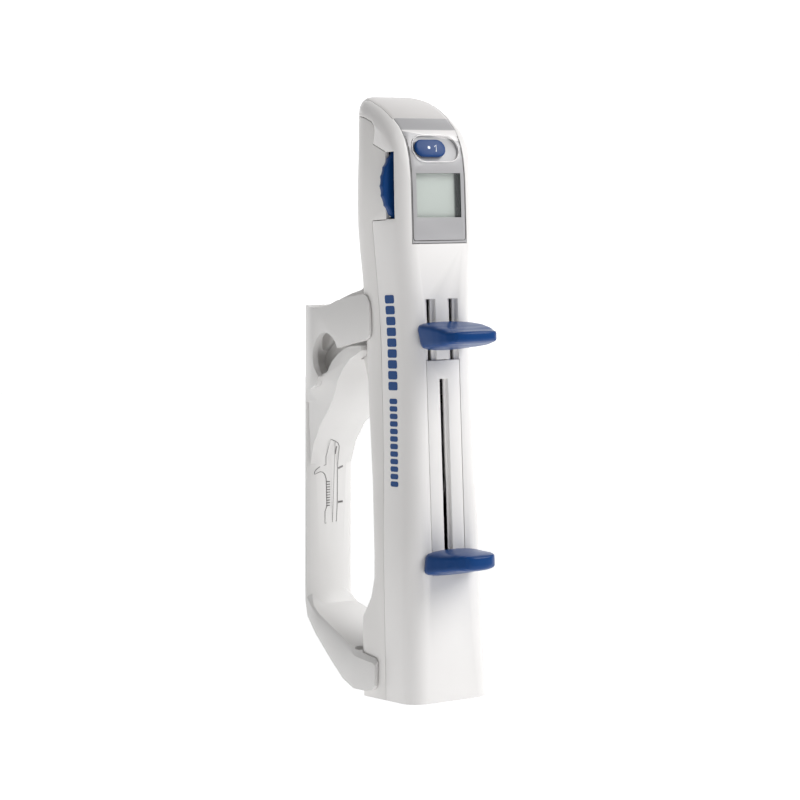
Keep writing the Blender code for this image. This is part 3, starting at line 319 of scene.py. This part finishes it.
def silver_with_painted_reflection():
    """Silver plastic with a painted reflection, a pale band, across its sloping top."""
    tint = colours()
    made = moulded_plastic("display silver", tint.silver, 0.30, coat=0.3, bump=0.02)
    nodes, links = made.node_tree.nodes, made.node_tree.links
    place = place_on_piece(nodes, links)
    slant = nodes.new("ShaderNodeMath")
    slant.operation = "MULTIPLY_ADD"
    slant.inputs[1].default_value = PAINTED_REFLECTION_SLANT
    links.new(place["X"], slant.inputs[0])
    links.new(place["Z"], slant.inputs[2])
    above = stepped(
        links, nodes, slant.outputs["Value"], PAINTED_REFLECTION_FOOT, PAINTED_REFLECTION_FOOT + PAINTED_REFLECTION_FOOT_FADE
    )
    below = stepped(links, nodes, place["Z"], PAINTED_REFLECTION_TOP, PAINTED_REFLECTION_TOP - PAINTED_REFLECTION_TOP_FADE)
    both = nodes.new("ShaderNodeMath")
    both.operation = "MULTIPLY"
    links.new(above, both.inputs[0])
    links.new(below, both.inputs[1])
    return covered(made, tint.painted_reflection_and_rim, both.outputs["Value"])


def lcd_face(tint, dark):
    """The blank LCD, with the painted shade of its frame along its right end."""
    made = moulded_plastic("lcd face", tint, 0.25, spread=0.012, bump=0.0)
    nodes, links = made.node_tree.nodes, made.node_tree.links
    place = place_on_piece(nodes, links)
    return covered(made, dark, stepped(links, nodes, place["X"], *LCD_PAINTED_SHADE))


# ---- modelling helpers ----------------------------------------------------------------------
def deselect():
    if bpy.context.object and bpy.context.object.mode != "OBJECT":
        bpy.ops.object.mode_set(mode="OBJECT")
    bpy.ops.object.select_all(action="DESELECT")


def pick(piece):
    deselect()
    piece.select_set(True)
    bpy.context.view_layer.objects.active = piece
    return piece


def modelled_copy(node, name):
    """A merged copy of a frame node, ready to be worked on."""
    source = frame["nodes"][node]
    made = bpy.data.objects.new(name, source.data.copy())
    made.data.materials.clear()
    bpy.context.scene.collection.objects.link(made)
    pick(made)
    bpy.ops.object.mode_set(mode="EDIT")
    bpy.ops.mesh.select_all(action="SELECT")
    bpy.ops.mesh.remove_doubles(threshold=0.00001)
    bpy.ops.mesh.dissolve_limited(angle_limit=math.radians(0.6))
    bpy.ops.object.mode_set(mode="OBJECT")
    return made


def round_edges(piece, width, segments=2, angle=30.0):
    pick(piece)
    bevel = piece.modifiers.new("edges", "BEVEL")
    bevel.width = width
    bevel.segments = segments
    bevel.limit_method = "ANGLE"
    bevel.angle_limit = math.radians(angle)
    bevel.harden_normals = False
    bpy.ops.object.modifier_apply(modifier=bevel.name)
    bpy.ops.object.shade_smooth_by_angle(angle=math.radians(38))
    return piece


def paint(piece, surface):
    piece.data.materials.clear()
    piece.data.materials.append(surface)
    return piece


def stands_for(piece, node, body):
    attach(piece, body)
    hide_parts(node)
    return piece


def softened(node, name, body, surface, width, segments=2):
    piece = round_edges(modelled_copy(node, name), width, segments)
    paint(piece, surface)
    return stands_for(piece, node, body)


def local_points(node):
    """A frame node's corners in the pipette's own upright frame."""
    return [TO_UPRIGHT @ vertex.co for vertex in frame["nodes"][node].data.vertices]


def local_box(node):
    points = local_points(node)
    low = Vector([min(p[k] for p in points) for k in range(3)])
    high = Vector([max(p[k] for p in points) for k in range(3)])
    return low, high


def settle(piece, matrix=UPRIGHT):
    """Moves a piece's place into its mesh, from the given frame to the row's."""
    bpy.context.view_layer.update()
    piece.data.transform(matrix @ piece.matrix_world)
    piece.matrix_world = Matrix.Identity(4)
    return piece


def apply_all(piece):
    pick(piece)
    for modifier in list(piece.modifiers):
        bpy.ops.object.modifier_apply(modifier=modifier.name)
    return piece


def smooth(piece, angle=38.0):
    pick(piece)
    bpy.ops.object.shade_smooth_by_angle(angle=math.radians(angle))
    return piece


def joined(pieces, name):
    deselect()
    for piece in pieces:
        piece.select_set(True)
    bpy.context.view_layer.objects.active = pieces[0]
    if len(pieces) > 1:
        bpy.ops.object.join()
    pieces[0].name = name
    return pieces[0]


def merged(piece):
    """Merges a piece's doubles and turns its faces outwards."""
    pick(piece)
    bpy.ops.object.mode_set(mode="EDIT")
    bpy.ops.mesh.select_all(action="SELECT")
    bpy.ops.mesh.remove_doubles(threshold=0.000001)
    bpy.ops.mesh.normals_make_consistent(inside=False)
    bpy.ops.object.mode_set(mode="OBJECT")
    return piece


def lay_on(piece, target, axis, gap):
    """Presses a piece on to the target that lies beyond it along an axis, a small gap off."""
    wrap = piece.modifiers.new("laid on", "SHRINKWRAP")
    wrap.target = target
    wrap.wrap_method = "PROJECT"
    wrap.use_project_x = axis == "X"
    wrap.use_project_y = axis == "Y"
    wrap.use_positive_direction = True
    wrap.wrap_mode = "ABOVE_SURFACE"
    wrap.offset = gap


def wire(points, radius, name, closed=False):
    """A thin round line through points, as a mesh."""
    curve = bpy.data.curves.new(name, "CURVE")
    curve.dimensions = "3D"
    curve.bevel_depth = radius
    curve.bevel_resolution = 2
    curve.use_fill_caps = True
    line = curve.splines.new("POLY")
    line.points.add(len(points) - 1)
    for target, point in zip(line.points, points):
        target.co = (*point, 1.0)
    line.use_cyclic_u = closed
    made = bpy.data.objects.new(name, curve)
    bpy.context.scene.collection.objects.link(made)
    pick(made)
    bpy.ops.object.convert(target="MESH")
    return merged(bpy.context.object)


def rounded(a, b, power):
    """Draws a point of the square in to a square with rounded corners."""
    size = max(abs(a), abs(b))
    if size < 1e-6:
        return a, b
    share = size / (abs(a) ** power + abs(b) ** power) ** (1 / power)
    return a * share, b * share


def along(points, t):
    """A smooth value at t through (t, value) points."""
    for (start, low), (end, high) in zip(points, points[1:]):
        if t <= end:
            share = (t - start) / (end - start)
            share = share * share * (3 - 2 * share)
            return low + (high - low) * share
    return points[-1][1]


# ---- operators ------------------------------------------------------------------------------
class PIPETTE_OT_shells(bpy.types.Operator):
    """Front and rear shells, top cap, slot panel and battery cover"""

    bl_idname = "pipette.shells"
    bl_label = "Shells"

    def execute(self, context):
        tint, edge = colours(), sizes().edge
        white = moulded_plastic("shell white", tint.shell, 0.38)
        grey = moulded_plastic("rear shell grey", tint.back, 0.42)
        cap = moulded_plastic("cap grey", tint.cap, 0.34)
        shell = softened(
            "front_shell", "front_shell_moulding", "casing", white, edge
        )
        softened("slot_panel", "slot_panel_moulding", "casing", white, edge * 0.6)
        softened("rear_shell", "rear_shell_moulding", "casing", grey, edge)
        softened(
            "battery_cover", "battery_cover_moulding", "casing", grey, edge
        )
        softened("top_cap", "top_cap_moulding", "casing", cap, edge * 0.6)
        self.print_blocks(shell)
        return {"FINISHED"}

    def print_blocks(self, shell):
        """Two runs of plain rounded blocks, printed down the left side."""
        blocks = []
        for top, count, pitch, height, width in PRINT_RUNS:
            for i in range(count):
                bpy.ops.mesh.primitive_plane_add(
                    size=1.0,
                    location=(CLEAR_OF_SHELL, PRINT_Y, (top - i * pitch) * MM),
                    rotation=(0, -math.pi / 2, 0),
                )
                block = bpy.context.object
                block.scale = (height * MM, width * MM, 1.0)
                bpy.ops.object.transform_apply(location=False, rotation=False, scale=True)
                bpy.ops.object.mode_set(mode="EDIT")
                bpy.ops.mesh.select_all(action="SELECT")
                bpy.ops.mesh.bevel(offset=PRINT_CORNER, segments=5, affect="VERTICES")
                bpy.ops.object.mode_set(mode="OBJECT")
                blocks.append(settle(block))
        ink = joined(blocks, "side_print")
        lay_on(ink, shell, "X", 0.06 * MM)
        skin = ink.modifiers.new("ink", "SOLIDIFY")
        skin.thickness = 0.1 * MM
        skin.offset = 0.0
        apply_all(ink)
        blue = moulded_plastic(
            "print blue", colours().ink, 0.35, spread=0.02, bump=0.0, shine=0.2
        )
        paint(smooth(ink), blue)
        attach(ink, "casing")


class PIPETTE_OT_display(bpy.types.Operator):
    """Display panel with its oval rim, window and LCD"""

    bl_idname = "pipette.display"
    bl_label = "Display"

    def execute(self, context):
        tint, edge = colours(), sizes().edge
        # The dark surround: partly its own black, partly painted shade on the walls of the opening and
        # the tray.
        dark = moulded_plastic("surround black", tint.dark, 0.35, bump=0.0)
        silver = silver_with_painted_reflection()
        panel = softened(
            "display_bezel", "display_panel", "casing", silver, edge * 0.6
        )
        panel.data.materials.append(dark)
        self.darken_sides(panel)
        glass = clear_window("clear window")
        softened("display_window", "display_glass", "casing", glass, 0.1 * MM)
        self.lcd(dark)
        self.rim()
        self.outline(panel)
        return {"FINISHED"}

    def darken_sides(self, panel):
        """Paints the sides of the panel's opening round the window with its second material, the dark
        surround: partly the surround's own black, partly painted shade in the recess.
        """
        low, high = local_box("display_window")
        margin = 0.5 * MM
        for face in panel.data.polygons:
            place, way = TO_UPRIGHT @ face.center, TO_UPRIGHT.to_3x3() @ face.normal
            inside = low.x - margin < place.x < high.x + margin
            inside = inside and low.z - margin < place.z < high.z + margin
            if inside and abs(way.y) < 0.5 and place.y > low.y + 0.15 * MM:
                face.material_index = 1

    def outline(self, panel):
        """The dark joint round the panel's foot and sides, with rounded corners."""
        low, high = local_box("display_bezel")
        half, foot = high.x - JOINT_INSET, low.z + JOINT_INSET
        ahead, corner = CLEAR_OF_SHELL, JOINT_CORNER
        points = [(-half, ahead, JOINT_TOP), (-half, ahead, foot + corner)]
        for i in range(1, 6):
            a = math.radians(180 + 15 * i)
            x, z = -half + corner + corner * math.cos(a), foot + corner + corner * math.sin(a)
            points.append((x, ahead, z))
        points += [(-x, y, z) for x, y, z in reversed(points)]
        fine = []
        for near, far in zip(points, points[1:]):
            steps = max(1, int((Vector(far) - Vector(near)).length / JOINT_STEP))
            fine += [Vector(near).lerp(Vector(far), i / steps) for i in range(steps)]
        line = wire([*fine, points[-1]], JOINT_RADIUS, "panel_joint")
        settle(line)
        lay_on(line, panel, "Y", 0.05 * MM)
        apply_all(line)
        grey = moulded_plastic("joint grey", (0.13, 0.125, 0.12), 0.6, spread=0.02, bump=0.0)
        paint(smooth(line, 60), grey)
        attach(line, "casing")

    def lcd(self, dark):
        """The LCD at the bottom of a dark tray, whose walls are partly the module's own black and
        partly painted shade.
        """
        low, high = local_box("lcd_module")
        bpy.ops.mesh.primitive_cube_add(size=1.0, location=(low + high) / 2)
        tray = bpy.context.object
        tray.name = "lcd_tray"
        tray.dimensions = high - low
        bpy.ops.object.transform_apply(location=True, rotation=False, scale=True)
        tray.data.materials.append(dark)
        tray.data.materials.append(lcd_face(colours().lcd, colours().dark))
        bpy.ops.object.mode_set(mode="EDIT")
        bpy.ops.mesh.select_all(action="DESELECT")
        shape = bmesh.from_edit_mesh(tray.data)
        for face in shape.faces:
            face.select_set(face.normal.y < -0.9)
        bmesh.update_edit_mesh(tray.data)
        bpy.ops.mesh.inset(thickness=0.35 * MM)
        depth = (high.y - low.y) * 0.8
        bpy.ops.mesh.extrude_region_move(TRANSFORM_OT_translate={"value": (0, depth, 0)})
        shape = bmesh.from_edit_mesh(tray.data)
        for face in shape.faces:
            if face.select:
                face.material_index = 1
        bmesh.update_edit_mesh(tray.data)
        bpy.ops.object.mode_set(mode="OBJECT")
        settle(tray)
        stands_for(tray, "lcd_module", "casing")

    def rim(self):
        """The thin bright rim round the slider's oval."""
        turn, centre = slider_frame()
        steps = 12
        points = []
        for side in (1, -1):
            for i in range(steps + 1):
                a = math.radians(-90 + 180 * i / steps) + (0 if side > 0 else math.pi)
                across = side * OVAL_REACH + OVAL_RADIUS * math.cos(a)
                points.append(centre + turn @ Vector((across, OVAL_RADIUS * math.sin(a), 0)))
        ring = wire(points, 0.19 * MM, "slider_rim", closed=True)
        settle(ring)
        silver = moulded_plastic("rim silver", colours().painted_reflection_and_rim, 0.25, coat=0.5, bump=0.0)
        paint(smooth(ring, 60), silver)
        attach(ring, "casing")


def slider_frame():
    """The turn of the sloping face under the slider, and the middle of its oval on that face."""
    turn = Matrix.Rotation(SLIDER_SLOPE, 3, "X")
    out = turn @ Vector((0, 0, 1))
    points = local_points("counter_switch")
    height = max(p.dot(out) for p in points)
    top = [p for p in points if p.dot(out) > height - 0.05 * MM]
    middle = sum(top, Vector()) / len(top)
    middle.x = 0.0
    return turn, middle - out * SLIDER_HEIGHT


class PIPETTE_OT_controls(bpy.types.Operator):
    """Counter slider, volume dial and the two levers"""

    bl_idname = "pipette.controls"
    bl_label = "Controls"

    def execute(self, context):
        blue = moulded_plastic("control blue", colours().blue, 0.30, spread=0.03, bump=0.0, shine=0.22)
        round_off = 0.3 * MM
        softened(
            "counter_switch", "counter_slider", "counter_switch", blue, round_off
        )
        wheel = softened(
            "volume_dial", "volume_wheel", "volume_dial", blue, round_off
        )
        self.thin(wheel)
        self.slider_marks()
        self.lever(
            "dispense_lever", "dispenser", blue, (DISPENSE_PLAN, DISPENSE_TOP, DISPENSE_FOOT),
            level=DISPENSE_LEVEL, length=1.04, dish=1.1, crown=0.9, lips=(0.5, 0.25), taper=0.15,
        )
        self.lever(
            "fill_lever", "filler", blue, (FILL_PLAN, FILL_TOP, FILL_FOOT),
            level=FILL_LEVEL, length=0.99, dish=-0.7, crown=0.8, lips=(0.0, 1.1), taper=-0.10,
        )
        return {"FINISHED"}

    def thin(self, wheel):
        """Draws the wheel's front face back, so that a dark gap shows in front of it."""
        kept = 0.8
        low, high = local_box("volume_dial")
        for vertex in wheel.data.vertices:
            point = TO_UPRIGHT @ vertex.co
            point.y = high.y + (point.y - high.y) * kept
            vertex.co = UPRIGHT @ point

    def slider_marks(self):
        """The white dot and stroke on the slider."""
        turn, centre = slider_frame()
        low, high = local_box("counter_switch")
        middle = Vector(((low.x + high.x) / 2, centre.y, centre.z))
        middle += turn @ Vector((0, 0, MARK_HEIGHT))
        white = moulded_plastic("mark white", colours().mark, 0.3, spread=0.01, bump=0.0)
        bpy.ops.mesh.primitive_cylinder_add(vertices=20, radius=0.62 * MM, depth=0.1 * MM)
        dot = bpy.context.object
        dot_centre = middle + turn @ Vector((-0.9 * MM, 0, 0))
        settle(dot, UPRIGHT @ Matrix.Translation(dot_centre) @ turn.to_4x4())
        stroke = ((1.75, 0.35), (2.75, 1.05), (2.1, -1.75))
        figure = wire([(x * MM, y * MM, 0.0) for x, y in stroke], 0.2 * MM, "figure")
        figure.data.transform(Matrix.Diagonal((1.0, 1.0, 0.35, 1.0)))
        settle(figure, UPRIGHT @ Matrix.Translation(middle) @ turn.to_4x4())
        marks = merged(joined([dot, figure], "slider_marks"))
        paint(smooth(marks), white)
        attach(marks, "counter_switch")

    def lever(self, node, body, surface, lines, level, length, dish, crown, lips, taper):
        """A lever from a divided box: thick root, waisted side, shaped top, rounded tip.

        The length is a share of the reach, and the taper is how much narrower the foot is than the
        top at the root. In millimetres, the dish hollows the top, the crown rounds top and foot
        near the root, and the lips thicken the tip above and below.
        """
        plan_line, top, foot = lines
        low, high = local_box(node)
        half = high.x
        reach = (LEVER_ROOT - low.y) * length
        bpy.ops.mesh.primitive_cube_add(size=2.0)
        piece = bpy.context.object
        piece.name = node + "_moulding"
        bpy.ops.object.mode_set(mode="EDIT")
        bpy.ops.mesh.select_all(action="SELECT")
        bpy.ops.mesh.subdivide(number_cuts=15)
        bpy.ops.object.mode_set(mode="OBJECT")
        for vertex in piece.data.vertices:
            u, v, w = vertex.co
            u, w = rounded(u, w, SIDE_ROUNDING)
            t = math.sin((1 - v) * math.pi / 4)
            if t > 0.5:
                tip, w = rounded((t - 0.5) / 0.5, w, TIP_ROUNDING)
                t = 0.5 + 0.5 * tip
            fall = (1 - t) ** 1.5
            plan = along(plan_line, t) * (1 + taper * fall * (w - 1) / 2)
            out = t * reach * (1 - 0.05 * abs(u) ** 3 * t)
            share = (w + 1) / 2
            up = along(top, t) * share + along(foot, t) * (1 - share)
            middle = 1 - u * u
            up += middle * crown * fall * w
            hollow = math.sin(math.pi * min(1.0, t * 1.05))
            up -= middle * dish * hollow * max(w, 0.0) ** 3
            up += middle * t ** 3 * (lips[0] * max(w, 0.0) + lips[1] * min(w, 0.0))
            vertex.co = (u * half * plan, LEVER_ROOT - out, level + up * MM)
        fine = piece.modifiers.new("smooth", "SUBSURF")
        fine.levels = fine.render_levels = 1
        apply_all(piece)
        settle(piece)
        paint(smooth(piece, 60), surface)
        stands_for(piece, node, body)


class PIPETTE_OT_holder(bpy.types.Operator):
    """Wall holder and the line symbol on its spine"""

    bl_idname = "pipette.holder"
    bl_label = "Holder"

    def execute(self, context):
        grey = moulded_plastic("holder grey", colours().holder, 0.42)
        body = softened(
            "holder_frame", "holder_moulding", "holder", grey,
            sizes().holder_edge, segments=3,
        )
        self.symbol(body)
        return {"FINISHED"}

    def symbol(self, body):
        """A small line drawing of a hooked pipette in side view."""
        def stroke(ends, radius, name, closed=False):
            points = [(x * MM, SYMBOL_Y, z * MM) for x, z in ends]
            return wire(points, radius * MM, name, closed)

        lines = [
            stroke(SYMBOL_OUTLINE, 0.17, "outline", closed=True),
            stroke(((0.0, 95.2), (0.0, 61.0)), 0.13, "seam"),
            stroke(((1.2, 93.2), (1.2, 89.8)), 0.34, "dial"),
        ]
        for i in range(10):
            z = 78.2 - 1.12 * i
            lines.append(stroke(((-3.0, z), (-1.2, z + 0.1)), 0.2, "rib"))
        for z, lift in ((83.6, 0.8), (69.3, 0.1)):
            lines.append(stroke(((2.9, z), (5.4, z + lift)), 0.42, "lever"))
        pieces = [settle(line, Matrix.Translation(FOOT)) for line in lines]
        drawing = joined(pieces, "holder_symbol")
        lay_on(drawing, body, "Y", 0.05 * MM)
        apply_all(drawing)
        grey = moulded_plastic("symbol grey", colours().symbol, 0.5, spread=0.02, bump=0.0)
        paint(smooth(drawing, 60), grey)
        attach(drawing, "holder")


class PIPETTE_OT_inner(bpy.types.Operator):
    """Finishes on the nodes that keep their own shape"""

    bl_idname = "pipette.inner"
    bl_label = "Inner parts"

    def execute(self, context):
        finishes = {
            "white_plastic": moulded_plastic("inner white", (0.8, 0.8, 0.8), 0.45),
            "grey_plastic": moulded_plastic("inner grey", (0.6, 0.6, 0.6), 0.45),
            "dark_plastic": moulded_plastic("inner black", (0.03, 0.03, 0.03), 0.5),
            "soft_grip": moulded_plastic(
                "grip rubber", (0.52, 0.52, 0.52), 0.75, grain=500.0, bump=0.2
            ),
            "board": moulded_plastic("board green", (0.02, 0.13, 0.06), 0.4),
            "foam": moulded_plastic("pad foam", (0.06, 0.06, 0.06), 0.95, grain=700.0, bump=0.4),
            "steel": brushed_metal("drawn steel", (0.62, 0.62, 0.64)),
        }
        slots = {row["node"]: row["material_slot"] for row in frame["record"]["subparts"]}
        for node, item in frame["nodes"].items():
            if item.hide_render or slots[node] not in finishes:
                continue
            item.data.materials.clear()
            item.data.materials.append(finishes[slots[node]])
        return {"FINISHED"}


class PIPETTE_OT_stage(bpy.types.Operator):
    """White surroundings, pale floor, soft lights and the camera"""

    bl_idname = "pipette.stage"
    bl_label = "Stage"

    def execute(self, context):
        deselect()
        context.scene.view_settings.view_transform = "Standard"
        bpy.ops.mesh.primitive_plane_add(size=FLOOR_SIZE, location=(0, 0, FLOOR_LEVEL))
        floor = context.object
        floor.name = "studio_floor"
        paint(floor, glowing_white("studio white"))
        self.surroundings(context)
        self.lamps(context)
        self.camera(context)
        return {"FINISHED"}

    def surroundings(self, context):
        """A white room that is brightest behind the object."""
        world = bpy.data.worlds.new("studio")
        context.scene.world = world
        world.use_nodes = True
        nodes, links = world.node_tree.nodes, world.node_tree.links
        place = nodes.new("ShaderNodeTexCoord")
        facing = nodes.new("ShaderNodeVectorMath")
        facing.operation = "DOT_PRODUCT"
        facing.inputs[1].default_value = BRIGHT_SIDE
        level = nodes.new("ShaderNodeMapRange")
        level.interpolation_type = "SMOOTHSTEP"
        ends = ("From Min", "From Max", "To Min", "To Max")
        for socket, value in zip(ends, (*ROOM_FADE, *ROOM_BRIGHTNESS)):
            level.inputs[socket].default_value = value
        links.new(place.outputs["Generated"], facing.inputs[0])
        links.new(facing.outputs["Value"], level.inputs["Value"])
        links.new(level.outputs["Result"], nodes["Background"].inputs["Strength"])
        nodes["Background"].inputs["Color"].default_value = (1.0, 1.0, 1.0, 1.0)

    def lamps(self, context):
        """Soft square lamps, all turned to the object."""
        for name, spot, size, power in LAMPS:
            light = bpy.data.lights.new(name, "AREA")
            light.size = size
            light.energy = power
            lamp = bpy.data.objects.new(name, light)
            context.scene.collection.objects.link(lamp)
            lamp.location = spot
            way = LAMP_AIM - Vector(spot)
            lamp.rotation_euler = way.to_track_quat("-Z", "Y").to_euler()

    def camera(self, context):
        """A camera to the left of the front, turned by its turn, dip and roll."""
        turn, dip, roll = CAMERA_TURN, CAMERA_DIP, CAMERA_ROLL
        flat = Vector((math.sin(turn) * math.cos(dip), math.cos(turn) * math.cos(dip), 0.0))
        ahead = flat - Vector((0.0, 0.0, math.sin(dip)))
        right = Vector((math.cos(turn), -math.sin(turn), 0.0))
        upward = right.cross(ahead)
        side = right * math.cos(roll) + upward * math.sin(roll)
        crown = upward * math.cos(roll) - right * math.sin(roll)
        camera = bpy.data.objects.new("camera", bpy.data.cameras.new("camera"))
        context.scene.collection.objects.link(camera)
        camera.data.lens = sizes().lens
        camera.data.sensor_width = SENSOR_WIDTH
        pose = Matrix((side, crown, -ahead)).transposed().to_4x4()
        camera.matrix_world = Matrix.Translation(CAMERA_PLACE) @ pose
        context.scene.camera = camera


class PIPETTE_PT_panel(bpy.types.Panel):
    bl_label = "Repeating Pipette"
    bl_idname = "PIPETTE_PT_panel"
    bl_space_type = "VIEW_3D"
    bl_region_type = "UI"
    bl_category = "Pipette"

    def draw(self, context):
        for group in (context.scene.pipette_colours, context.scene.pipette_sizes):
            for name in group.__annotations__:
                self.layout.prop(group, name)
        for step in STEPS:
            self.layout.operator(step.bl_idname)


STEPS = (
    PIPETTE_OT_stage,
    PIPETTE_OT_shells,
    PIPETTE_OT_display,
    PIPETTE_OT_controls,
    PIPETTE_OT_holder,
    PIPETTE_OT_inner,
)
CLASSES = (PipetteColours, PipetteSizes, *STEPS, PIPETTE_PT_panel)


def register():
    for item in CLASSES:
        bpy.utils.register_class(item)
    bpy.types.Scene.pipette_colours = bpy.props.PointerProperty(type=PipetteColours)
    bpy.types.Scene.pipette_sizes = bpy.props.PointerProperty(type=PipetteSizes)


def unregister():
    del bpy.types.Scene.pipette_sizes
    del bpy.types.Scene.pipette_colours
    for item in reversed(CLASSES):
        bpy.utils.unregister_class(item)


def main():
    register()
    for step in STEPS:
        family, name = step.bl_idname.split(".")
        getattr(getattr(bpy.ops, family), name)()


if __name__ == "__main__":
    main()
